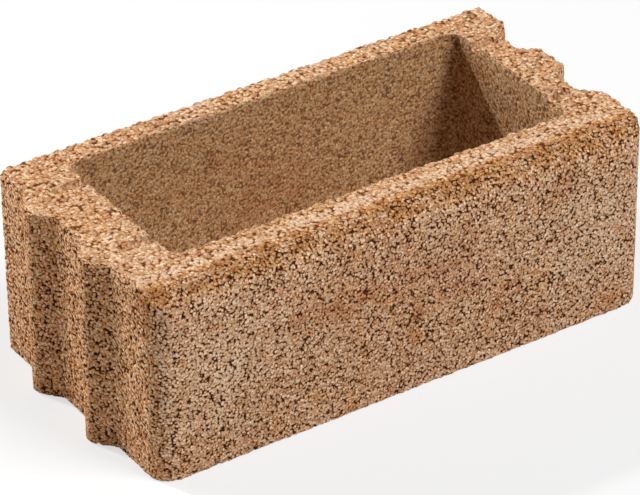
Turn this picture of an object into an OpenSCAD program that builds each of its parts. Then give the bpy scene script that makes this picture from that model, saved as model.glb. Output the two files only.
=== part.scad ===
// Hollow wall block cast in one piece from coarse porous concrete.
// Two tongues stand on the left end and two matching grooves run down the right end.
// One open cavity passes through the block from top to bottom.
// Lengths are in millimetres, +Z is up and the front face looks along -Y.

/* [Block] */
// Length between the flat parts of the two ends
block_l = 450; // [300:5:600]
// Width from the front face to the back face
block_w = 225; // [220:1:300]
// Height of the block
block_h = 165; // [80:1:250]
// Radius of the two upright corners at the front
front_corner_r = 18; // [4:1:25]
// Radius of the long top edge at the front
front_edge_r = 22; // [4:1:25]

/* [Cavity] */
// Thickness of the front wall
front_wall = 48; // [35:1:60]
// Thickness of the back wall
back_wall = 23; // [18:1:40]
// Thickness of the left end web, measured from the flat of the end
left_web = 47; // [40:1:60]
// Thickness of the right end web, measured from the flat of the end
right_web = 42; // [40:1:60]
// Radius of the upright corners of the cavity
cavity_r = 10; // [4:1:25]

/* [Tongues and grooves] */
// Distance between the two tongues
tongue_pitch = 79.5; // [70:0.5:90]
// Shift of the pair of tongues from the middle of the width towards the back
tongue_shift = 12.5; // [0:0.5:15]
// Width of a tongue where it leaves the end
tongue_w = 47; // [40:0.5:52]
// Width of the blunt tip of a tongue, before its corners are rounded
tongue_tip_w = 8; // [7:0.5:16]
// Shift of the tip from the middle of its tongue towards the front
tongue_tip_shift = 3.5; // [0:0.5:6]
// Height of a tongue above the end
tongue_h = 13.5; // [8:0.5:16]
// Radius of the two corners of a tongue's tip
tongue_tip_r = 6; // [2:0.5:8]
// Side clearance of a tongue in the mouth of a groove
groove_side_gap = 0.5; // [0.5:0.5:3]
// Clearance between the tip of a tongue and the floor of a groove
groove_floor_gap = 1.5; // [0.5:0.5:4]
// Run of each sloping side of a groove across the end
groove_flank_run = 11; // [6:0.5:16]

/* [Core slots] */
// Distance from a long wall of the cavity to the middle of the nearest slot
slot_inset = 28; // [20:0.5:40]
// Width of a slot
slot_w = 9; // [5:0.5:12]
// Land left on the left web between a slot and the flat of the end
left_slot_land = 17; // [10:1:25]
// Land left on the right web between a slot and the floor of a groove
right_slot_land = 7; // [4:1:10]
// Depth of a slot at the cavity
slot_d = 6; // [3:0.5:10]
// Depth of a slot at its outer end
slot_end_d = 3.5; // [0.5:0.5:5]

/* [Hidden] */
// Facets of a full round in the preview
$fn = 64;
// How far a cutter runs past the face it cuts, and a tongue runs into the end it stands on
overcut = 1;
// How far the sides of a tongue stop inside the rounds they run into
round_sink = 0.05;
concrete_tint = [0.72, 0.56, 0.40];
// Limits of the block: the middle of its overall length and width is at the origin
overall_l = block_l + tongue_h;
x_left = tongue_h - overall_l / 2;
x_right = overall_l / 2;
y_front = -block_w / 2;
y_back = block_w / 2;
// Limits of the cavity
cavity_x0 = x_left + left_web;
cavity_x1 = x_right - right_web;
cavity_y0 = y_front + front_wall;
cavity_y1 = y_back - back_wall;
cavity_l = cavity_x1 - cavity_x0;
cavity_w = cavity_y1 - cavity_y0;
// Middles of the tongues, which the grooves share
tongue_ys = [tongue_shift - tongue_pitch / 2, tongue_shift + tongue_pitch / 2];
groove_w = tongue_w + 2 * groove_side_gap;
groove_d = tongue_h + groove_floor_gap;
groove_floor_w = groove_w - 2 * groove_flank_run;
// Middles and lengths of the slots
slot_ys = [cavity_y0 + slot_inset, cavity_y1 - slot_inset];
left_slot_l = left_web - left_slot_land;
right_slot_l = right_web - groove_d - right_slot_land;

// Rectangle with all four corners rounded, its low corner at the origin
module rounded_rect(l, w, r) {
    translate([0, r]) square([l, w - 2 * r]);
    translate([r, 0]) square([l - 2 * r, w]);
    for (x = [r, l - r], y = [r, w - r]) translate([x, y]) circle(r);
}

// Plan of the block between the flats of its ends, front corners rounded
module body_plan() {
    translate([x_left, y_front + front_corner_r]) square([block_l, block_w - front_corner_r]);
    translate([x_left + front_corner_r, y_front]) square([block_l - 2 * front_corner_r, block_w]);
    for (x = [x_left + front_corner_r, x_right - front_corner_r])
        translate([x, y_front + front_corner_r]) circle(front_corner_r);
}

// Plan of one tongue: a long slope at the back, a short one at the front and a blunt rounded tip
module tongue_plan() {
    half_base = tongue_w / 2;
    tip_front = -tongue_tip_shift - tongue_tip_w / 2;
    tip_back = -tongue_tip_shift + tongue_tip_w / 2;
    // angle between the tip and each slope, then the middles of the two rounds
    front_angle = atan2(tongue_h, half_base + tip_front);
    back_angle = atan2(tongue_h, half_base - tip_back);
    round_x = tongue_tip_r - tongue_h;
    round_front = tip_front + tongue_tip_r * tan(front_angle / 2);
    round_back = tip_back - tongue_tip_r * tan(back_angle / 2);
    side_r = tongue_tip_r - round_sink;
    polygon([
        [overcut, half_base],
        [0, half_base],
        [round_x - side_r * cos(back_angle), round_back + side_r * sin(back_angle)],
        [round_x - side_r, round_back],
        [round_x - side_r, round_front],
        [round_x - side_r * cos(front_angle), round_front - side_r * sin(front_angle)],
        [0, -half_base],
        [overcut, -half_base]
    ]);
    for (y = [round_front, round_back]) translate([round_x, y]) circle(tongue_tip_r);
}

// Plan of one groove, running out past the end
module groove_plan() {
    half_mouth = groove_w / 2;
    half_floor = groove_floor_w / 2;
    polygon([
        [-groove_d, -half_floor], [0, -half_mouth], [overcut, -half_mouth],
        [overcut, half_mouth], [0, half_mouth], [-groove_d, half_floor]
    ]);
}

// Plan of the whole block without its cavity
module block_plan() {
    difference() {
        union() {
            body_plan();
            for (y = tongue_ys) translate([x_left, y]) tongue_plan();
        }
        for (y = tongue_ys) translate([x_right, y]) groove_plan();
    }
}

// Rounding cutter along the long top edge at the front
module front_edge_cut() {
    translate([-overall_l / 2 - overcut, y_front, block_h])
        rotate([90, 0, 90])
            linear_extrude(overall_l + 2 * overcut)
                difference() {
                    translate([-overcut, -front_edge_r]) square(front_edge_r + overcut);
                    translate([front_edge_r, -front_edge_r]) circle(front_edge_r);
                }
}

// Ramped slot cut into the top of a web, deepest at the cavity, running along +X
module slot_cut(slot_l) {
    translate([0, slot_w / 2, 0])
        rotate([90, 0, 0])
            linear_extrude(slot_w)
                polygon([
                    [-cavity_r, overcut], [-cavity_r, -slot_d], [0, -slot_d],
                    [slot_l, -slot_end_d], [slot_l, overcut]
                ]);
}

// The whole block
module block() {
    color(concrete_tint)
        difference() {
            linear_extrude(block_h) block_plan();
            translate([cavity_x0, cavity_y0, -overcut])
                linear_extrude(block_h + 2 * overcut) rounded_rect(cavity_l, cavity_w, cavity_r);
            front_edge_cut();
            for (y = slot_ys) {
                translate([cavity_x1, y, block_h]) slot_cut(right_slot_l);
                translate([cavity_x0, y, block_h]) mirror([1, 0, 0]) slot_cut(left_slot_l);
            }
        }
}

block();
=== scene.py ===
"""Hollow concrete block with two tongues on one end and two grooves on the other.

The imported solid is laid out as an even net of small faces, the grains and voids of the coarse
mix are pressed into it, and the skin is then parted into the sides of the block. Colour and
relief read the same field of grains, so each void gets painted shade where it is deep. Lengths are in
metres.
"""

import logging
import math
from dataclasses import dataclass
from enum import Enum
from typing import Union

import bpy
import numpy as np
from mathutils import Matrix, Vector

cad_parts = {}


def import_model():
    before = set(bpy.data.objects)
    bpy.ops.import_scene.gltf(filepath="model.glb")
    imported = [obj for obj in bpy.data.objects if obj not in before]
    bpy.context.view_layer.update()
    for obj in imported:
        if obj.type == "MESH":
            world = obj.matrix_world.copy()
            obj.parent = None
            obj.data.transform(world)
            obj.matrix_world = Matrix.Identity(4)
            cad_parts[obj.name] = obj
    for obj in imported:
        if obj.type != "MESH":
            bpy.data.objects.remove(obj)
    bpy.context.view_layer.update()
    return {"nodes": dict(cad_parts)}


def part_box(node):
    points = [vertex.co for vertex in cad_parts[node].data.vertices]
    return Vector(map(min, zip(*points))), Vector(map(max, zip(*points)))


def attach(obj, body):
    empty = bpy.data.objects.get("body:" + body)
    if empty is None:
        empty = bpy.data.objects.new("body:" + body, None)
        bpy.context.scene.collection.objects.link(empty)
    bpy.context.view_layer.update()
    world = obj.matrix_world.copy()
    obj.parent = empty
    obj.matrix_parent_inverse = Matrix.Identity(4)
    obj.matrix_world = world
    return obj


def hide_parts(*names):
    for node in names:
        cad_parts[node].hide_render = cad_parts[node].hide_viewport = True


MM = 0.001
BODY = "root"
NODE = "block"
# Marks that the relief leaves on the skin for the finishes
CAST_PLACE = "cast_place"
CAST_FACING = "cast_facing"
EDGE_MARK = "edge_mark"
# Name of the flat map that each piece is laid out in
BAKE_MAP = "OFBake"
# Mean width of a grain on the moulded sides and on the open bed
WALL_GRAIN = 2.0 * MM
BED_GRAIN = 2.7 * MM
# Planes of the solid that stains and chips lie on
FRONT_Y = -0.1125
CAVITY_BACK_Y = 0.0895
BED_Z = 0.165
# Middle of the values that Blender's noise gives
NOISE_MIDDLE = 0.5

Socket = bpy.types.NodeSocket
Value = Union[Socket, float, tuple]
Colour = tuple[float, float, float]

log = logging.getLogger("concrete_block")


def linear(red: int, green: int, blue: int) -> Colour:
    """Turns a colour as seen on a screen into linear light, by the sRGB curve.

    Args:
        red: Red from 0 to 255.
        green: Green from 0 to 255.
        blue: Blue from 0 to 255.

    Returns:
        The three parts as linear values from 0 to 1.
    """

    def part(step: int) -> float:
        """One part of the colour in linear light."""
        seen = step / 255
        return seen / 12.92 if seen <= 0.04045 else ((seen + 0.055) / 1.055) ** 2.4

    return part(red), part(green), part(blue)


class NodeDesk:
    """Places nodes in one tree, of shader or geometry nodes, and joins their sockets."""

    def __init__(self, tree: bpy.types.NodeTree) -> None:
        """Keeps the tree to work in."""
        self.tree = tree

    def node(self, kind: str, **settings: object) -> bpy.types.Node:
        """Adds a node.

        Args:
            kind: Blender's name for the type of node.
            **settings: Properties to set on it.

        Returns:
            The new node.
        """
        made = self.tree.nodes.new(kind)
        for key, value in settings.items():
            setattr(made, key, value)
        return made

    def feed(self, socket: Socket, value: Value) -> None:
        """Links a socket to another one, or sets its value.

        Args:
            socket: The socket to feed.
            value: A socket to link it to, or a plain value.
        """
        if isinstance(value, bpy.types.NodeSocket):
            self.tree.links.new(value, socket)
        else:
            socket.default_value = value

    def math(self, operation: str, *values: Value) -> Socket:
        """Adds a sum on plain values.

        Args:
            operation: Blender's name for the sum.
            *values: Values or sockets in the node's own order.

        Returns:
            The socket of the result.
        """
        made = self.node("ShaderNodeMath", operation=operation)
        for socket, value in zip(made.inputs, values):
            self.feed(socket, value)
        return made.outputs["Value"]

    def vector(self, operation: str, *values: Value) -> Socket:
        """Adds a sum on vectors that gives a vector.

        Args:
            operation: Blender's name for the sum.
            *values: Vectors or sockets in the node's own order.

        Returns:
            The socket of the result.
        """
        made = self.node("ShaderNodeVectorMath", operation=operation)
        for socket, value in zip(made.inputs, values):
            self.feed(socket, value)
        return made.outputs["Vector"]

    def measure(self, operation: str, first: Value, second: Value) -> Socket:
        """Adds a sum on two vectors that gives a plain value, such as their distance.

        Args:
            operation: Blender's name for the sum.
            first: The first vector.
            second: The second vector.

        Returns:
            The socket of the result.
        """
        made = self.node("ShaderNodeVectorMath", operation=operation)
        self.feed(made.inputs[0], first)
        self.feed(made.inputs[1], second)
        return made.outputs["Value"]

    def scaled(self, vector: Value, factor: Value) -> Socket:
        """Adds a vector times a plain value.

        Args:
            vector: The vector.
            factor: What it is multiplied by.

        Returns:
            The socket of the result.
        """
        made = self.node("ShaderNodeVectorMath", operation="SCALE")
        self.feed(made.inputs[0], vector)
        self.feed(made.inputs["Scale"], factor)
        return made.outputs["Vector"]

    def ease(self, value: Value, start: Value, end: Value) -> Socket:
        """Adds a soft step.

        Args:
            value: What is read.
            start: Where the step leaves 0.
            end: Where the step reaches 1. It may lie below start.

        Returns:
            The socket of the step, from 0 to 1.
        """
        made = self.node("ShaderNodeMapRange", interpolation_type="SMOOTHSTEP")
        for name, fed in (("Value", value), ("From Min", start), ("From Max", end)):
            self.feed(made.inputs[name], fed)
        return made.outputs["Result"]

    def parts(self, vector: Value) -> tuple[Socket, Socket, Socket]:
        """Adds a split of a vector or colour.

        Args:
            vector: What is split.

        Returns:
            The sockets of its three parts.
        """
        made = self.node("ShaderNodeSeparateXYZ")
        self.feed(made.inputs[0], vector)
        return made.outputs[0], made.outputs[1], made.outputs[2]

    def noise(self, place: Value, size: float, detail: float = 2.0) -> tuple[Socket, Socket]:
        """Adds cloudy noise.

        Args:
            place: Where it is read, in metres.
            size: Width of a cloud in metres.
            detail: How many finer layers lie in it.

        Returns:
            The sockets of its value and of its colour.
        """
        made = self.node("ShaderNodeTexNoise", noise_dimensions="3D")
        self.feed(made.inputs["Vector"], place)
        made.inputs["Scale"].default_value = 1 / size
        made.inputs["Detail"].default_value = detail
        return made.outputs[0], made.outputs[1]

    def cells(self, place: Value, size: float) -> tuple[Socket, Socket]:
        """Adds packed cells.

        Args:
            place: Where they are read, in metres.
            size: Mean width of a cell in metres.

        Returns:
            The sockets of the distance from a cell's middle, in cells, and of its colour.
        """
        made = self.node("ShaderNodeTexVoronoi", voronoi_dimensions="3D", feature="F1")
        self.feed(made.inputs["Vector"], place)
        made.inputs["Scale"].default_value = 1 / size
        return made.outputs["Distance"], made.outputs["Color"]

    def mix(self, share: Value, first: Value, second: Value, blend: str = "MIX") -> Socket:
        """Adds a mix of two colours.

        Args:
            share: How much of the second colour shows, from 0 to 1.
            first: The colour underneath.
            second: The colour on top.
            blend: Blender's name for the way of mixing.

        Returns:
            The socket of the mixed colour.
        """
        made = self.node("ShaderNodeMix", data_type="RGBA", blend_type=blend)
        made.clamp_factor = True
        sockets = [s for s in made.inputs if s.enabled]
        for socket, value in zip(sockets, (share, first, second)):
            plain = isinstance(value, tuple) and len(value) == 3
            self.feed(socket, (*value, 1.0) if plain else value)
        return next(s for s in made.outputs if s.enabled)


@dataclass(frozen=True)
class GrainMarks:
    """Sockets of what the field of grains says at one place."""

    reach: Socket
    gap: Socket
    tone: Socket
    tint: Socket
    rise: Socket


@dataclass(frozen=True)
class GrainField:
    """Packed grains of the mix, one solid pattern through the whole block, in grain widths."""

    stray: float = 0.42
    stray_size: float = 0.75
    crowd_size: float = 6.0
    crowd_swing: float = 0.16
    break_size: float = 1.4
    break_swing: float = 0.36

    def lay(self, desk: NodeDesk, place: Socket, grain: Value) -> GrainMarks:
        """Reads the field at a place, in a tree of either kind.

        Args:
            desk: Where the nodes go.
            place: The place before any relief, in metres.
            grain: Mean width of a grain in metres.

        Returns:
            The sockets of the field.
        """
        there = desk.scaled(place, desk.math("DIVIDE", 1.0, grain))
        drift = desk.vector("SUBTRACT", desk.noise(there, self.stray_size)[1], (NOISE_MIDDLE,) * 3)
        moved = desk.vector("ADD", there, desk.scaled(drift, self.stray))
        reach, chance = desk.cells(moved, 1.0)
        tone, tint, rise = desk.parts(chance)
        gap = reach
        for size, swing in ((self.crowd_size, self.crowd_swing), (self.break_size, self.break_swing)):
            cloud = desk.math("SUBTRACT", desk.noise(there, size)[0], NOISE_MIDDLE)
            gap = desk.math("MULTIPLY_ADD", cloud, swing, gap)
        return GrainMarks(reach, gap, tone, tint, rise)


@dataclass(frozen=True)
class Chip:
    """A place where grains have broken out of an edge."""

    middle: tuple[float, float, float]
    reach: float
    push: tuple[float, float, float]


@dataclass(frozen=True)
class Relief:
    """How deep the grains and voids stand in the skin. All of it goes inwards."""

    # Voids between the grains of the moulded sides
    void_start: float = 0.58
    void_end: float = 0.86
    wall_void: float = 1.0 * MM
    wall_rise: float = 0.25 * MM
    # Loose grains and the soft swell of the open bed
    bed_dome: float = 0.7 * MM
    bed_dome_reach: float = 0.8
    bed_dome_most: float = 1.2
    bed_rise: float = 0.5 * MM
    bed_swell: float = 0.5 * MM
    swell_size: float = 26 * MM
    swell_start: float = 0.2
    swell_end: float = 0.8
    # How far up a face has to look to count as bed
    upward_start: float = 0.45
    upward_end: float = 0.9
    # Worn edges, and the crumbs that have left the upper ones
    edge_rounds: int = 34
    edge_wear: float = 0.15
    wear_size: float = 14 * MM
    wear_start: float = 0.25
    wear_end: float = 0.7
    edge_reach: float = 1.0 * MM
    crumb_size: float = 6 * MM
    crumb_start: float = 0.25
    crumb_end: float = 0.8
    crumb_band: float = 14 * MM
    crumb_top: float = 1.1
    crumb_below: float = 0.3
    # Uneven rim of a chip, and the share of its reach that sinks fully
    chip_fray: float = 6 * MM
    chip_core: float = 0.3

    def tree(self, field: GrainField, chips: tuple[Chip, ...], top: float) -> bpy.types.NodeTree:
        """Builds the geometry nodes that press the relief into a net of faces.

        Args:
            field: The grains of the mix.
            chips: Places where grains have broken out.
            top: Height of the open bed, whose edges crumble most.

        Returns:
            The node group.
        """
        tree = bpy.data.node_groups.new("grain_relief", "GeometryNodeTree")
        for way in ("INPUT", "OUTPUT"):
            tree.interface.new_socket("Geometry", in_out=way, socket_type="NodeSocketGeometry")
        desk = NodeDesk(tree)
        skin = desk.node("NodeGroupInput").outputs[0]
        place = desk.node("GeometryNodeInputPosition").outputs[0]
        facing = desk.node("GeometryNodeInputNormal").outputs[0]
        give, edge = self.give(desk, place, facing)
        skin = self.mark(desk, skin, CAST_PLACE, place, "FLOAT_VECTOR")
        skin = self.mark(desk, skin, CAST_FACING, facing, "FLOAT_VECTOR")
        skin = self.mark(desk, skin, EDGE_MARK, edge, "FLOAT")
        worn = desk.vector("ADD", place, desk.scaled(give, self.wear(desk, place, edge, top)))
        depth = self.depth(desk, field, place, facing)
        sunk = desk.scaled(facing, desk.math("MULTIPLY", depth, -1.0))
        sunk = self.dents(desk, place, sunk, chips)
        moved = desk.node("GeometryNodeSetPosition")
        desk.feed(moved.inputs["Geometry"], skin)
        desk.feed(moved.inputs["Position"], desk.vector("ADD", worn, sunk))
        desk.feed(desk.node("NodeGroupOutput").inputs[0], moved.outputs["Geometry"])
        return tree

    def give(self, desk: NodeDesk, place: Socket, facing: Socket) -> tuple[Socket, Socket]:
        """Works out which way the skin gives at the edges that stand out.

        Args:
            desk: Where the nodes go.
            place: The place on the skin.
            facing: Which way the skin looks there.

        Returns:
            The sockets of the way to a softened skin, in metres, and of the mark of an edge, from 0 to 1.
        """
        blur = desk.node("GeometryNodeBlurAttribute", data_type="FLOAT_VECTOR")
        blur.inputs["Iterations"].default_value = self.edge_rounds
        desk.feed(next(s for s in blur.inputs if s.enabled), place)
        softened = next(s for s in blur.outputs if s.enabled)
        give = desk.vector("SUBTRACT", softened, place)
        edge = desk.ease(desk.measure("DOT_PRODUCT", give, facing), 0.0, -self.edge_reach)
        return give, edge

    def wear(self, desk: NodeDesk, place: Socket, edge: Socket, top: float) -> Socket:
        """Works out how much of an edge has crumbled away.

        Args:
            desk: Where the nodes go.
            place: The place on the skin.
            edge: The mark of an edge.
            top: Height of the open bed.

        Returns:
            The socket of the share, from 0 to 1.
        """
        crumb = desk.ease(desk.cells(place, self.crumb_size)[0], self.crumb_start, self.crumb_end)
        high = desk.ease(desk.parts(place)[2], top - self.crumb_band, top)
        loose = desk.math("MULTIPLY_ADD", high, self.crumb_top - self.crumb_below, self.crumb_below)
        rubbed = desk.ease(desk.noise(place, self.wear_size)[0], self.wear_start, self.wear_end)
        wear = desk.math("MULTIPLY", rubbed, self.edge_wear)
        wear = desk.math("MULTIPLY_ADD", crumb, loose, wear)
        return desk.math("MINIMUM", desk.math("MULTIPLY", wear, edge), 1.0)

    def dents(self, desk: NodeDesk, place: Socket, sunk: Socket, chips: tuple[Chip, ...]) -> Socket:
        """Adds the places where grains have broken out.

        Args:
            desk: Where the nodes go.
            place: The place on the skin.
            sunk: How the skin has moved so far.
            chips: The places.

        Returns:
            The socket of how the skin has moved with them.
        """
        fray = desk.math("SUBTRACT", desk.noise(place, self.chip_fray)[0], NOISE_MIDDLE)
        for chip in chips:
            near = desk.measure("DISTANCE", place, chip.middle)
            near = desk.math("MULTIPLY_ADD", fray, chip.reach, near)
            dent = desk.ease(near, chip.reach, self.chip_core * chip.reach)
            sunk = desk.vector("ADD", sunk, desk.scaled(chip.push, dent))
        return sunk

    @staticmethod
    def mark(desk: NodeDesk, skin: Socket, name: str, value: Socket, kind: str) -> Socket:
        """Keeps a value on the skin's points under a name.

        Args:
            desk: Where the nodes go.
            skin: The geometry so far.
            name: Name to keep the value under.
            value: The value.
            kind: Blender's name for its type.

        Returns:
            The socket of the marked geometry.
        """
        keep = desk.node("GeometryNodeStoreNamedAttribute", data_type=kind, domain="POINT")
        desk.feed(keep.inputs["Geometry"], skin)
        desk.feed(keep.inputs["Name"], name)
        desk.feed(next(s for s in keep.inputs if s.name == "Value" and s.enabled), value)
        return keep.outputs["Geometry"]

    def depth(self, desk: NodeDesk, field: GrainField, place: Socket, facing: Socket) -> Socket:
        """Works out how far the skin sinks at a place.

        Args:
            desk: Where the nodes go.
            field: The grains of the mix.
            place: The place on the skin.
            facing: Which way the skin looks there.

        Returns:
            The socket of the depth in metres.
        """
        moulded = field.lay(desk, place, WALL_GRAIN)
        void = desk.ease(moulded.gap, self.void_start, self.void_end)
        wall = desk.math("MULTIPLY", void, self.wall_void)
        wall = desk.math("MULTIPLY_ADD", moulded.rise, self.wall_rise, wall)
        loose = field.lay(desk, place, BED_GRAIN)
        dome = desk.math("DIVIDE", loose.reach, self.bed_dome_reach)
        dome = desk.math("MINIMUM", dome, self.bed_dome_most)
        bed = desk.math("MULTIPLY", desk.math("POWER", dome, 2.0), self.bed_dome)
        bed = desk.math("MULTIPLY_ADD", loose.rise, self.bed_rise, bed)
        swell = desk.ease(desk.noise(place, self.swell_size)[0], self.swell_start, self.swell_end)
        bed = desk.math("MULTIPLY_ADD", swell, self.bed_swell, bed)
        upward = desk.ease(desk.parts(facing)[2], self.upward_start, self.upward_end)
        step = desk.math("SUBTRACT", bed, wall)
        return desk.math("MULTIPLY_ADD", upward, step, wall)


class StainAndEdgeLightKind(Enum):
    """What colours a larger patch of the concrete: stains, and the painted shade and highlight along the
    front arris.
    """

    RUST = "Rust"
    # Pale stains, and the painted highlight on the crest of the front arris
    PALE = "Pale"
    # Ochre stain clouds, and the ochre-tinted painted shade on the rounded front arris
    OCHRE = "Ochre And Arris Shade"
    # Painted shade: the darker band where the rounded front arris turns away from the key lamp
    UMBER = "Arris Shade"


@dataclass(frozen=True)
class StainSpot:
    """One larger patch of colour, placed on the block."""

    kind: StainAndEdgeLightKind
    middle: tuple[float, float, float]
    reach: float
    strength: float


@dataclass(frozen=True)
class PaintedEdgeLine:
    """One painted line along the length of the block, at a depth and a height: shade on the rounded front
    arris, or highlight on its crest.
    """

    kind: StainAndEdgeLightKind
    depth: float
    height: float
    reach: float
    strength: float


@dataclass(frozen=True)
class StainAndEdgeLightField:
    """Clouds of colour through the block, larger single patches, and lines of painted shade and highlight
    along the front edge.
    """

    # Clouds, each kind read from its own part of the noise
    rust_size: float = 46 * MM
    pale_size: float = 62 * MM
    ochre_size: float = 30 * MM
    cloud_share: float = 0.7
    cloud_start: float = 0.52
    cloud_end: float = 0.72
    cloud_detail: float = 3.0
    cloud_shift: tuple[int, int, int] = (7, 3, 5)
    # Gaps that break up every stain
    fray_size: float = 15 * MM
    fray_start: float = 0.25
    fray_end: float = 0.7
    fray_detail: float = 4.0
    # Share of a line's reach that is fully coloured
    line_core: float = 0.3
    # Painted shade and highlight along the front arris, laid as lines
    lines: tuple[PaintedEdgeLine, ...] = (
        # Ochre-tinted painted shade where the rounded front arris turns away from the key lamp
        PaintedEdgeLine(StainAndEdgeLightKind.OCHRE, depth=-0.100, height=0.1625, reach=0.017, strength=1.4),
        # Painted shade that darkens the rounded front arris
        PaintedEdgeLine(StainAndEdgeLightKind.UMBER, depth=-0.099, height=0.1632, reach=0.013, strength=1.5),
        # Painted highlight on the lit crest where the bed meets the front arris
        PaintedEdgeLine(StainAndEdgeLightKind.PALE, depth=-0.083, height=BED_Z, reach=0.008, strength=1.0),
    )
    spots: tuple[StainSpot, ...] = (
        StainSpot(StainAndEdgeLightKind.RUST, middle=(-0.001, FRONT_Y, 0.090), reach=0.085, strength=0.8),
        StainSpot(StainAndEdgeLightKind.RUST, middle=(-0.060, FRONT_Y, 0.107), reach=0.055, strength=0.5),
        StainSpot(StainAndEdgeLightKind.RUST, middle=(0.063, FRONT_Y, 0.092), reach=0.060, strength=0.5),
        StainSpot(StainAndEdgeLightKind.RUST, middle=(0.019, CAVITY_BACK_Y, 0.060), reach=0.090, strength=0.7),
        StainSpot(StainAndEdgeLightKind.PALE, middle=(-0.165, FRONT_Y, 0.083), reach=0.095, strength=0.8),
        StainSpot(StainAndEdgeLightKind.PALE, middle=(0.188, FRONT_Y, 0.078), reach=0.085, strength=0.8),
        StainSpot(StainAndEdgeLightKind.PALE, middle=(0.091, FRONT_Y, 0.095), reach=0.050, strength=0.4),
    )

    def group(self) -> bpy.types.NodeTree:
        """Builds the shader group that gives each kind of stain and of painted edge light as a mask.

        Returns:
            The node group.
        """
        tree = bpy.data.node_groups.new("cast_stains_and_edge_light", "ShaderNodeTree")
        tree.interface.new_socket("Place", in_out="INPUT", socket_type="NodeSocketVector")
        for kind in StainAndEdgeLightKind:
            tree.interface.new_socket(kind.value, in_out="OUTPUT", socket_type="NodeSocketFloat")
        desk = NodeDesk(tree)
        place = desk.node("NodeGroupInput").outputs["Place"]
        out = desk.node("NodeGroupOutput")
        rough = desk.noise(place, self.fray_size, self.fray_detail)[0]
        fray = desk.ease(rough, self.fray_start, self.fray_end)
        for kind in StainAndEdgeLightKind:
            frayed = desk.math("MULTIPLY", self.total(desk, kind, place), fray)
            desk.feed(out.inputs[kind.value], desk.math("MINIMUM", frayed, 1.0))
        return tree

    def total(self, desk: NodeDesk, kind: StainAndEdgeLightKind, place: Socket) -> Value:
        """Adds up the clouds and patches of one kind of stain, and the painted lines of edge shade and
        highlight.

        Args:
            desk: Where the nodes go.
            kind: The kind of stain or of painted edge light.
            place: The place on the block.

        Returns:
            How strong the stain or painted edge light is there.
        """
        total = self.clouds(desk, kind, place)
        for spot in self.spots:
            if spot.kind is kind:
                near = desk.ease(desk.measure("DISTANCE", place, spot.middle), spot.reach, 0.0)
                total = desk.math("MULTIPLY_ADD", near, spot.strength, total)
        for line in self.lines:
            if line.kind is kind:
                across = desk.vector("MULTIPLY", place, (0.0, 1.0, 1.0))
                off = desk.measure("DISTANCE", across, (0.0, line.depth, line.height))
                near = desk.ease(off, line.reach, self.line_core * line.reach)
                total = desk.math("MULTIPLY_ADD", near, line.strength, total)
        return total

    def clouds(self, desk: NodeDesk, kind: StainAndEdgeLightKind, place: Socket) -> Value:
        """Lays the clouds of one kind of stain, if it has them.

        Args:
            desk: Where the nodes go.
            kind: The kind of stain.
            place: The place on the block.

        Returns:
            How strong the clouds are there.
        """
        sizes = {
            StainAndEdgeLightKind.RUST: self.rust_size,
            StainAndEdgeLightKind.PALE: self.pale_size,
            StainAndEdgeLightKind.OCHRE: self.ochre_size,
        }
        if kind not in sizes:
            return 0.0
        size = sizes[kind]
        shift = tuple(size * steps for steps in self.cloud_shift)
        cloud = desk.noise(desk.vector("ADD", place, shift), size, self.cloud_detail)[0]
        cloud = desk.ease(cloud, self.cloud_start, self.cloud_end)
        return desk.math("MULTIPLY", cloud, self.cloud_share)


@dataclass(frozen=True)
class GrainGroup:
    """Shader group that shows the grains and voids of the mix on any finish, with the masks where the
    voids' shade is painted.
    """

    field: GrainField
    rim_width: float = 0.24
    rim_lap: float = 0.06
    sand_size: float = 1.3 * MM
    sand_depth: float = 0.6
    dust_size: float = 1.5 * MM
    dust_detail: float = 3.0
    dust_start: float = 0.25
    dust_end: float = 0.75

    def group(self) -> bpy.types.NodeTree:
        """Builds the shader group of grains, with masks and a height put out.

        Returns:
            The node group.
        """
        tree = bpy.data.node_groups.new("packed_grains", "ShaderNodeTree")
        for name, kind in (
            ("Place", "NodeSocketVector"),
            ("Grain", "NodeSocketFloat"),
            ("Void Start", "NodeSocketFloat"),
            ("Void End", "NodeSocketFloat"),
        ):
            tree.interface.new_socket(name, in_out="INPUT", socket_type=kind)
        for name in ("Tone", "Tint", "Rim", "Void", "Sand", "Height"):
            tree.interface.new_socket(name, in_out="OUTPUT", socket_type="NodeSocketFloat")
        desk = NodeDesk(tree)
        given = desk.node("NodeGroupInput").outputs
        out = desk.node("NodeGroupOutput")
        place = given["Place"]
        marks = self.field.lay(desk, place, given["Grain"])
        rim_start = desk.math("SUBTRACT", given["Void Start"], self.rim_width)
        rim_end = desk.math("ADD", given["Void Start"], self.rim_lap)
        sand = desk.cells(place, self.sand_size)[0]
        dust = desk.noise(place, self.dust_size, self.dust_detail)[0]
        desk.feed(out.inputs["Tone"], marks.tone)
        desk.feed(out.inputs["Tint"], marks.tint)
        desk.feed(out.inputs["Rim"], desk.ease(marks.gap, rim_start, rim_end))
        desk.feed(out.inputs["Void"], desk.ease(marks.gap, given["Void Start"], given["Void End"]))
        desk.feed(out.inputs["Sand"], desk.ease(dust, self.dust_start, self.dust_end))
        desk.feed(out.inputs["Height"], desk.math("MULTIPLY_ADD", sand, -self.sand_depth, dust))
        return tree


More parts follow.
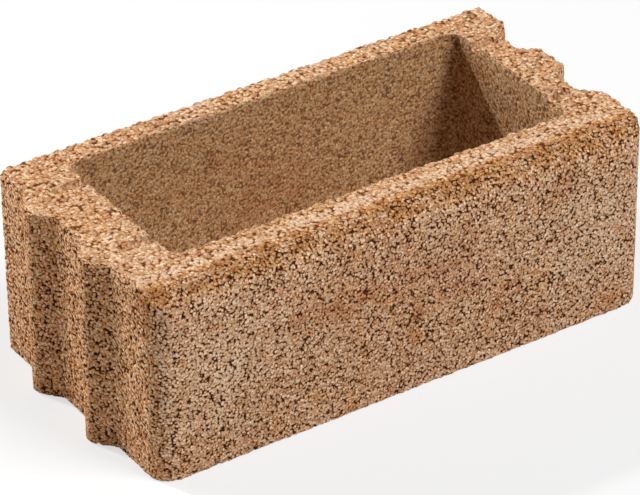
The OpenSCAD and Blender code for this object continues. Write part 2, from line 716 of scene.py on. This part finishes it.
@dataclass(frozen=True)
class ConcreteFinish:
    """Look of one kind of side: the tones of its grains, its stains, the painted shade of its voids, and
    the painted shade and highlight along the front arris.
    """

    name: str
    deep_grain: Colour
    mid_grain: Colour
    light_grain: Colour
    grain: float = WALL_GRAIN
    # Colours of single grains and stains, the painted shade and highlight along the front arris, and the
    # painted shade of voids and their rims. A wash and the rim shade multiply what lies under them
    ochre: Colour = linear(201, 145, 83)
    # Wash of the ochre stains and of the ochre-tinted painted shade on the front arris
    ochre_and_arris_shade_wash: Colour = (1.0, 0.76, 0.36)
    # Darkening wash of the painted shade along the rounded front arris
    arris_shade_wash: Colour = (0.74, 0.69, 0.62)
    rust: Colour = linear(172, 108, 58)
    # Colour of the pale stains and of the painted highlight on the arris crest
    pale: Colour = linear(222, 202, 178)
    grey: Colour = linear(186, 172, 154)
    # rim and void: painted shade around each void and in it, for the shadow in the deep pits
    rim: Colour = (0.74, 0.39, 0.15)
    void: Colour = linear(52, 24, 6)
    # How strongly each of them shows
    ochre_share: float = 0.35
    grey_share: float = 0.4
    rust_share: float = 0.6
    pale_share: float = 0.6
    # Strength of the ochre stains' wash and of the painted arris shade that it carries
    ochre_and_arris_shade_wash_share: float = 0.65
    # Strength of the painted shade along the rounded front arris
    arris_shade_wash_share: float = 0.8
    # Strength of the painted shade on the void rims
    rim_shade_share: float = 0.8
    # Where a void opens between the grains, and how much sooner in an ochre stain and in the painted
    # arris shade
    void_start: float = 0.60
    void_end: float = 0.75
    ochre_and_arris_shade_void: float = 0.02
    # Strength of the painted shade in the voids
    void_shade_share: float = 1.0
    edge_share: float = 0.08
    sand_share: float = 0.6
    bump: float = 0.35
    bump_depth: float = 0.5 * MM
    # Which grains are deep, light, ochre or grey, by their chance from 0 to 1
    deep_end: float = 0.6
    light_start: float = 0.55
    ochre_start: float = 0.5
    grey_start: float = 0.45
    roughness: float = 0.98
    roughness_drop: float = 0.12
    specular: float = 0.2

    def material(self, grains: bpy.types.NodeTree, stains: bpy.types.NodeTree) -> bpy.types.Material:
        """Builds the material.

        Args:
            grains: The shader group of grains.
            stains: The shader group of stains and painted edge light.

        Returns:
            The new material.
        """
        made = bpy.data.materials.new(self.name)
        made.use_nodes = True
        made.node_tree.nodes.clear()
        desk = NodeDesk(made.node_tree)
        place = desk.node("ShaderNodeAttribute", attribute_name=CAST_PLACE).outputs["Vector"]
        stain = desk.node("ShaderNodeGroup", node_tree=stains)
        desk.feed(stain.inputs["Place"], place)
        grain = desk.node("ShaderNodeGroup", node_tree=grains)
        desk.feed(grain.inputs["Place"], place)
        desk.feed(grain.inputs["Grain"], self.grain)
        opened = stain.outputs[StainAndEdgeLightKind.OCHRE.value]
        for name, step in (("Void Start", self.void_start), ("Void End", self.void_end)):
            desk.feed(grain.inputs[name], desk.math("MULTIPLY_ADD", opened, -self.ochre_and_arris_shade_void, step))
        colour = self.tones(desk, grain)
        colour = self.stained_and_shaded(desk, colour, stain)
        colour = self.pitted(desk, colour, grain)
        shader = desk.node("ShaderNodeBsdfPrincipled")
        desk.feed(shader.inputs["Base Color"], colour)
        rough = desk.math("MULTIPLY_ADD", grain.outputs["Tone"], -self.roughness_drop, self.roughness)
        desk.feed(shader.inputs["Roughness"], rough)
        shader.inputs["Specular IOR Level"].default_value = self.specular
        bump = desk.node("ShaderNodeBump")
        bump.inputs["Strength"].default_value = self.bump
        bump.inputs["Distance"].default_value = self.bump_depth
        desk.feed(bump.inputs["Height"], grain.outputs["Height"])
        desk.feed(shader.inputs["Normal"], bump.outputs["Normal"])
        desk.feed(desk.node("ShaderNodeOutputMaterial").inputs["Surface"], shader.outputs["BSDF"])
        return made

    def tones(self, desk: NodeDesk, grain: bpy.types.Node) -> Socket:
        """Gives each grain its own tone.

        Args:
            desk: Where the nodes go.
            grain: The group of grains in this material.

        Returns:
            The socket of the colour.
        """
        tone, tint = grain.outputs["Tone"], grain.outputs["Tint"]
        colour = desk.mix(desk.ease(tone, 0.0, self.deep_end), self.deep_grain, self.mid_grain)
        colour = desk.mix(desk.ease(tone, self.light_start, 1.0), colour, self.light_grain)
        ochre = desk.math("MULTIPLY", desk.ease(tint, self.ochre_start, 1.0), self.ochre_share)
        colour = desk.mix(ochre, colour, self.ochre)
        grey = desk.math("MULTIPLY", desk.ease(tint, self.grey_start, 0.0), self.grey_share)
        return desk.mix(grey, colour, self.grey)

    def stained_and_shaded(self, desk: NodeDesk, colour: Socket, stain: bpy.types.Node) -> Socket:
        """Lays the stains and the painted edge light over the grains. The ochre wash and the arris shade
        wash keep the grains' tones.

        Args:
            desk: Where the nodes go.
            colour: The colour of the grains.
            stain: The group of stains and painted edge light in this material.

        Returns:
            The socket of the colour.
        """
        for kind, share, coat, blend in (
            (StainAndEdgeLightKind.OCHRE, self.ochre_and_arris_shade_wash_share, self.ochre_and_arris_shade_wash, "MULTIPLY"),
            (StainAndEdgeLightKind.UMBER, self.arris_shade_wash_share, self.arris_shade_wash, "MULTIPLY"),
            (StainAndEdgeLightKind.PALE, self.pale_share, self.pale, "MIX"),
            (StainAndEdgeLightKind.RUST, self.rust_share, self.rust, "MIX"),
        ):
            amount = desk.math("MULTIPLY", stain.outputs[kind.value], share)
            colour = desk.mix(amount, colour, coat, blend)
        return colour

    def pitted(self, desk: NodeDesk, colour: Socket, grain: bpy.types.Node) -> Socket:
        """Lightens the edges, strews fine sand and paints shade into the voids and onto their rims.

        Args:
            desk: Where the nodes go.
            colour: The colour so far.
            grain: The group of grains in this material.

        Returns:
            The socket of the colour.
        """
        edge = desk.node("ShaderNodeAttribute", attribute_name=EDGE_MARK).outputs["Fac"]
        worn = desk.math("MULTIPLY", edge, self.edge_share)
        colour = desk.mix(worn, colour, self.light_grain)
        sand = desk.math("MULTIPLY_ADD", grain.outputs["Sand"], self.sand_share, 1 - self.sand_share / 2)
        colour = desk.scaled(colour, sand)
        # Painted shade on the rims of the voids, then in the voids themselves
        rim = desk.math("MULTIPLY", grain.outputs["Rim"], self.rim_shade_share)
        colour = desk.mix(rim, colour, self.rim, "MULTIPLY")
        dark = desk.math("MULTIPLY", grain.outputs["Void"], self.void_shade_share)
        return desk.mix(dark, colour, self.void)


class FinishKind(Enum):
    """The finishes that the sides of the block are given."""

    BED = ConcreteFinish(
        name="trowelled_bed",
        deep_grain=linear(173, 129, 90),
        mid_grain=linear(207, 167, 129),
        light_grain=linear(232, 204, 171),
        grain=BED_GRAIN,
        grey_share=0.25,
        void_start=0.66,
        void_end=0.84,
        void_shade_share=0.85,
        rust_share=0.25,
        sand_share=0.75,
    )
    FACE = ConcreteFinish(
        name="moulded_face",
        deep_grain=linear(170, 131, 96),
        mid_grain=linear(210, 174, 141),
        light_grain=linear(238, 214, 188),
    )
    END = ConcreteFinish(
        name="ribbed_end",
        deep_grain=linear(180, 131, 86),
        mid_grain=linear(217, 170, 124),
        light_grain=linear(241, 205, 165),
        rust_share=0.35,
        pale_share=0.3,
    )
    # Tones darker than the moulded face's: painted shade of the hollow core
    SHADED_CAVITY = ConcreteFinish(
        name="shaded_core_wall",
        deep_grain=linear(170, 132, 92),
        mid_grain=linear(197, 160, 118),
        light_grain=linear(216, 186, 148),
        grey_share=0.3,
        pale_share=0.25,
        rim_shade_share=0.5,
        void_shade_share=0.6,
    )


class Side(Enum):
    """The sides that the skin of the block is parted into, each with its finish."""

    FRONT_FACE = ("front_face", FinishKind.FACE)
    BACK_FACE = ("back_face", FinishKind.FACE)
    TONGUE_END = ("tongue_end", FinishKind.END)
    GROOVE_END = ("groove_end", FinishKind.END)
    TOP_BED = ("top_bed", FinishKind.BED)
    BOTTOM_BED = ("bottom_bed", FinishKind.FACE)
    CAVITY_FRONT = ("cavity_front", FinishKind.SHADED_CAVITY)
    CAVITY_BACK = ("cavity_back", FinishKind.SHADED_CAVITY)
    CAVITY_LEFT = ("cavity_left", FinishKind.SHADED_CAVITY)
    CAVITY_RIGHT = ("cavity_right", FinishKind.SHADED_CAVITY)

    @property
    def piece(self) -> str:
        """Name of the piece that shows this side."""
        return self.value[0]

    @property
    def finish(self) -> FinishKind:
        """Finish of this side."""
        return self.value[1]


@dataclass
class Skin:
    """Points and faces of the whole skin, as arrays."""

    points: np.ndarray
    normals: np.ndarray
    place: np.ndarray
    facing: np.ndarray
    edge: np.ndarray
    faces: np.ndarray


@dataclass
class CastBlock:
    """The block itself: one casting, shown as a skin parted into its sides."""

    field: GrainField = GrainField()
    relief: Relief = Relief()
    stains: StainAndEdgeLightField = StainAndEdgeLightField()
    net: float = 1.07 * MM
    weld: float = 0.01 * MM
    # Corners of the cavity in x and y, and how far its walls reach past them
    cavity_low: tuple[float, float] = (-171.25 * MM, -64.5 * MM)
    cavity_high: tuple[float, float] = (189.75 * MM, CAVITY_BACK_Y)
    lip: float = 2 * MM
    # How far in from the outside a face still belongs to the front, the back or an end
    face_depth: float = 22 * MM
    # How far forward a face on the rounded edge looks before it leaves the bed
    edge_turn: float = 0.25
    # Slope, in degrees, up to which a face counts as level
    level_turn: float = 45.0
    # How far below the bed the slots reach
    slot_depth: float = 8 * MM
    # Turn, in degrees, at which the flat map is cut, and the gap between its parts
    map_turn: float = 60.0
    map_gap: float = 0.002
    chips: tuple[Chip, ...] = (
        Chip(middle=(0.192, -0.040, BED_Z), reach=0.016, push=(0.0022, 0.0, -0.0036)),
    )

    def cast(self, solid: bpy.types.Object) -> Skin:
        """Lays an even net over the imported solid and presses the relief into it.

        Args:
            solid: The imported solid.

        Returns:
            The skin of the whole block.
        """
        body = bpy.data.objects.new("cast_body", solid.data.copy())
        bpy.context.scene.collection.objects.link(body)
        weld = body.modifiers.new("weld", "WELD")
        weld.merge_threshold = self.weld
        even = body.modifiers.new("even_net", "REMESH")
        even.mode = "VOXEL"
        even.voxel_size = self.net
        press = body.modifiers.new("relief", "NODES")
        press.node_group = self.relief.tree(self.field, self.chips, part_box(NODE)[1].z)
        graph = bpy.context.evaluated_depsgraph_get()
        mesh = bpy.data.meshes.new_from_object(body.evaluated_get(graph), depsgraph=graph)
        skin = self.read(mesh)
        bpy.data.objects.remove(body)
        bpy.data.meshes.remove(mesh)
        return skin

    @staticmethod
    def read(mesh: bpy.types.Mesh) -> Skin:
        """Reads a mesh of four-sided faces into arrays.

        Args:
            mesh: The mesh, with the marks that the relief leaves.

        Returns:
            The skin.
        """
        count = len(mesh.vertices)
        corners = np.empty(len(mesh.loops), dtype=np.int32)
        mesh.loops.foreach_get("vertex_index", corners)

        def values(source: object, name: str, width: int) -> np.ndarray:
            """Reads one value of each point.

            Args:
                source: Where the value is kept.
                name: Its name there.
                width: How many numbers it has.

            Returns:
                An array with a row for each point.
            """
            found = np.empty(count * width, dtype=np.float32)
            source.foreach_get(name, found)
            return found.reshape(count, width)

        marks = mesh.attributes
        return Skin(
            points=values(mesh.vertices, "co", 3),
            normals=values(mesh.vertices, "normal", 3),
            place=values(marks[CAST_PLACE].data, "vector", 3),
            facing=values(marks[CAST_FACING].data, "vector", 3),
            edge=values(marks[EDGE_MARK].data, "value", 1),
            faces=corners.reshape(-1, 4),
        )

    def part(self, skin: Skin) -> dict[Side, np.ndarray]:
        """Sorts the faces of the skin by the side that they belong to.

        Args:
            skin: The skin of the whole block.

        Returns:
            The face numbers of each side.
        """
        x, y, z = skin.place[skin.faces].mean(axis=1).T
        nx, ny, nz = skin.facing[skin.faces].mean(axis=1).T
        low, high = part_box(NODE)
        side = np.full(len(skin.faces), -1)
        sides = list(Side)

        def claim(kind: Side, held: np.ndarray) -> None:
            """Gives the faces that are still free to a side."""
            side[(side < 0) & held] = sides.index(kind)

        across = np.abs(nx) > np.abs(ny)
        level = np.abs(nz) > math.cos(math.radians(self.level_turn))
        upper = z > (low.z + high.z) / 2
        forward = y < low.y + self.face_depth
        claim(Side.FRONT_FACE, ~across & (ny < -self.edge_turn) & forward & upper)
        claim(Side.TOP_BED, level & (nz > 0) & upper)
        claim(Side.BOTTOM_BED, level)
        lip = self.lip
        round_x = (x > self.cavity_low[0] - lip) & (x < self.cavity_high[0] + lip)
        round_y = (y > self.cavity_low[1] - lip) & (y < self.cavity_high[1] + lip)
        inside = round_x & round_y
        claim(Side.CAVITY_LEFT, inside & across & (nx > 0))
        claim(Side.CAVITY_RIGHT, inside & across)
        claim(Side.CAVITY_FRONT, inside & (ny > 0))
        claim(Side.CAVITY_BACK, inside)
        off_end = (x > low.x + self.face_depth) & (x < high.x - self.face_depth)
        off_face = (y > low.y + self.face_depth) & (y < high.y - self.face_depth)
        claim(Side.TOP_BED, off_end & off_face & (z > high.z - self.slot_depth))
        claim(Side.FRONT_FACE, ~across & (ny < 0) & forward)
        claim(Side.BACK_FACE, ~across & (ny > 0) & (y > high.y - lip))
        claim(Side.TONGUE_END, x < 0)
        claim(Side.GROOVE_END, x > 0)
        return {kind: np.flatnonzero(side == i) for i, kind in enumerate(sides)}

    def show(self, skin: Skin, side: Side, held: np.ndarray) -> bpy.types.Object:
        """Builds the piece that shows one side.

        Args:
            skin: The skin of the whole block.
            side: The side to show.
            held: Numbers of its faces.

        Returns:
            The new piece.
        """
        used, faces = np.unique(skin.faces[held], return_inverse=True)
        faces = faces.reshape(-1, 4)
        mesh = bpy.data.meshes.new(side.piece)
        mesh.from_pydata(skin.place[used].tolist(), [], faces.tolist())
        piece = bpy.data.objects.new(side.piece, mesh)
        bpy.context.scene.collection.objects.link(piece)
        self.map_flat(piece)
        mesh.vertices.foreach_set("co", skin.points[used].ravel())
        place = mesh.attributes.new(CAST_PLACE, "FLOAT_VECTOR", "POINT")
        place.data.foreach_set("vector", skin.place[used].ravel())
        edge = mesh.attributes.new(EDGE_MARK, "FLOAT", "POINT")
        edge.data.foreach_set("value", skin.edge[used].ravel())
        mesh.shade_smooth()
        mesh.normals_split_custom_set_from_vertices(skin.normals[used].tolist())
        mesh.update()
        return piece

    def map_flat(self, piece: bpy.types.Object) -> None:
        """Lays a piece out flat while its faces are still even.

        Args:
            piece: The piece.
        """
        piece.data.uv_layers.new(name=BAKE_MAP)
        bpy.ops.object.select_all(action="DESELECT")
        piece.select_set(True)
        bpy.context.view_layer.objects.active = piece
        bpy.ops.object.mode_set(mode="EDIT")
        bpy.ops.mesh.select_all(action="SELECT")
        bpy.ops.uv.smart_project(angle_limit=math.radians(self.map_turn), island_margin=self.map_gap)
        bpy.ops.object.mode_set(mode="OBJECT")

    def build(self, solid: bpy.types.Object) -> dict[Side, bpy.types.Object]:
        """Builds the piece of every side of the block.

        Args:
            solid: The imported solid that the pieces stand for.

        Returns:
            The piece of each side.
        """
        skin = self.cast(solid)
        return {side: self.show(skin, side, held) for side, held in self.part(skin).items()}

    def dress(self, pieces: dict[Side, bpy.types.Object]) -> None:
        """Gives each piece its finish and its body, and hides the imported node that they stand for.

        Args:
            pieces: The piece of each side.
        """
        grains = GrainGroup(self.field).group()
        stains = self.stains.group()
        coats = {kind: kind.value.material(grains, stains) for kind in FinishKind}
        for side, piece in pieces.items():
            piece.data.materials.append(coats[side.finish])
            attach(piece, BODY)
            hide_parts(NODE)


@dataclass(frozen=True)
class Lamp:
    """One soft square lamp that looks at the block."""

    name: str
    towards: tuple[float, float, float]
    away: float
    size: float
    power: float


@dataclass
class Studio:
    """Pale floor, soft lamps, white surround and the camera."""

    floor_half: float = 30.0
    floor_tone: float = 0.82
    floor_shadow: float = 0.35
    surround: float = 0.02
    lamps: tuple[Lamp, ...] = (
        Lamp("key", towards=(-0.37, 0.69, 0.625), away=3.0, size=0.15, power=56.0),
        Lamp("fill", towards=(0.30, -0.52, 0.80), away=5.0, size=2.0, power=226.0),
        Lamp("rim", towards=(-0.60, 0.74, 0.31), away=3.0, size=1.0, power=30.0),
    )
    aim: tuple[float, float, float] = (-0.0077, -0.0111, 0.0825)
    azimuth: float = -33.34
    elevation: float = 32.62
    roll: float = -0.62
    distance: float = 3.08
    lens: float = 223.9
    far_clip: float = 100.0

    @staticmethod
    def seen(desk: NodeDesk) -> Socket:
        """Tells rays that show the background from rays that only light the block.

        Args:
            desk: Where the nodes go.

        Returns:
            The socket of 1 for a ray from the camera, from gloss or through glass, and 0 for others.
        """
        rays = desk.node("ShaderNodeLightPath").outputs
        shown = desk.math("MAXIMUM", rays["Is Camera Ray"], rays["Is Glossy Ray"])
        return desk.math("MAXIMUM", shown, rays["Is Transmission Ray"])

    def lay_floor(self) -> None:
        """Builds the floor, white to the camera but for the block's shadow."""
        half = self.floor_half
        mesh = bpy.data.meshes.new("floor")
        corners = [(-half, -half, 0), (half, -half, 0), (half, half, 0), (-half, half, 0)]
        mesh.from_pydata(corners, [], [(0, 1, 2, 3)])
        floor = bpy.data.objects.new("floor", mesh)
        bpy.context.scene.collection.objects.link(floor)
        made = bpy.data.materials.new("pale_floor")
        made.use_nodes = True
        made.node_tree.nodes.clear()
        desk = NodeDesk(made.node_tree)
        matt = desk.node("ShaderNodeBsdfDiffuse")
        desk.feed(matt.inputs["Color"], (self.floor_tone,) * 3 + (1.0,))
        white = desk.node("ShaderNodeEmission")
        share = desk.math("MULTIPLY", self.seen(desk), 1 - self.floor_shadow)
        blend = desk.node("ShaderNodeMixShader")
        desk.feed(blend.inputs[0], share)
        desk.feed(blend.inputs[1], matt.outputs["BSDF"])
        desk.feed(blend.inputs[2], white.outputs["Emission"])
        desk.feed(desk.node("ShaderNodeOutputMaterial").inputs["Surface"], blend.outputs["Shader"])
        mesh.materials.append(made)

    def hang(self, lamp: Lamp) -> None:
        """Hangs one lamp.

        Args:
            lamp: Where it hangs, its size in metres and its power in watts.
        """
        light = bpy.data.lights.new(lamp.name, "AREA")
        light.size = lamp.size
        light.energy = lamp.power
        hung = bpy.data.objects.new(lamp.name, light)
        way = Vector(lamp.towards).normalized()
        hung.location = Vector(self.aim) + way * lamp.away
        hung.rotation_mode = "QUATERNION"
        hung.rotation_quaternion = way.to_track_quat("Z", "Y")
        bpy.context.scene.collection.objects.link(hung)

    def wrap(self) -> None:
        """Sets the world: white where it is seen, a soft even light elsewhere."""
        world = bpy.data.worlds.new("surround")
        world.use_nodes = True
        world.node_tree.nodes.clear()
        desk = NodeDesk(world.node_tree)
        glow = desk.node("ShaderNodeBackground")
        lift = desk.math("MULTIPLY_ADD", self.seen(desk), 1 - self.surround, self.surround)
        desk.feed(glow.inputs["Strength"], lift)
        desk.feed(glow.inputs["Color"], (1.0, 1.0, 1.0, 1.0))
        desk.feed(desk.node("ShaderNodeOutputWorld").inputs["Surface"], glow.outputs["Background"])
        bpy.context.scene.world = world

    def set_camera(self) -> None:
        """Sets the camera at the angle that the block is seen from."""
        data = bpy.data.cameras.new("camera")
        data.lens = self.lens
        data.clip_end = self.far_clip
        camera = bpy.data.objects.new("camera", data)
        around, up = math.radians(self.azimuth), math.radians(self.elevation)
        back = Vector(
            (math.sin(around) * math.cos(up), -math.cos(around) * math.cos(up), math.sin(up))
        )
        turn = (-back).to_track_quat("-Z", "Y").to_matrix()
        turn = turn @ Matrix.Rotation(math.radians(self.roll), 3, "Z")
        camera.matrix_world = Matrix.Translation(Vector(self.aim) + back * self.distance) @ turn.to_4x4()
        bpy.context.scene.collection.objects.link(camera)
        bpy.context.scene.camera = camera

    def build(self) -> None:
        """Sets up the whole studio."""
        self.lay_floor()
        for lamp in self.lamps:
            self.hang(lamp)
        self.wrap()
        self.set_camera()
        bpy.context.scene.view_settings.view_transform = "Standard"


def main() -> None:
    """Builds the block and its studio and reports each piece."""
    logging.basicConfig(level=logging.INFO, format="%(name)s: %(message)s")
    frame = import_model()
    block = CastBlock()
    pieces = block.build(frame["nodes"][NODE])
    block.dress(pieces)
    for piece in pieces.values():
        log.info("%s: %d triangles", piece.name, 2 * len(piece.data.polygons))
    Studio().build()


if __name__ == "__main__":
    main()
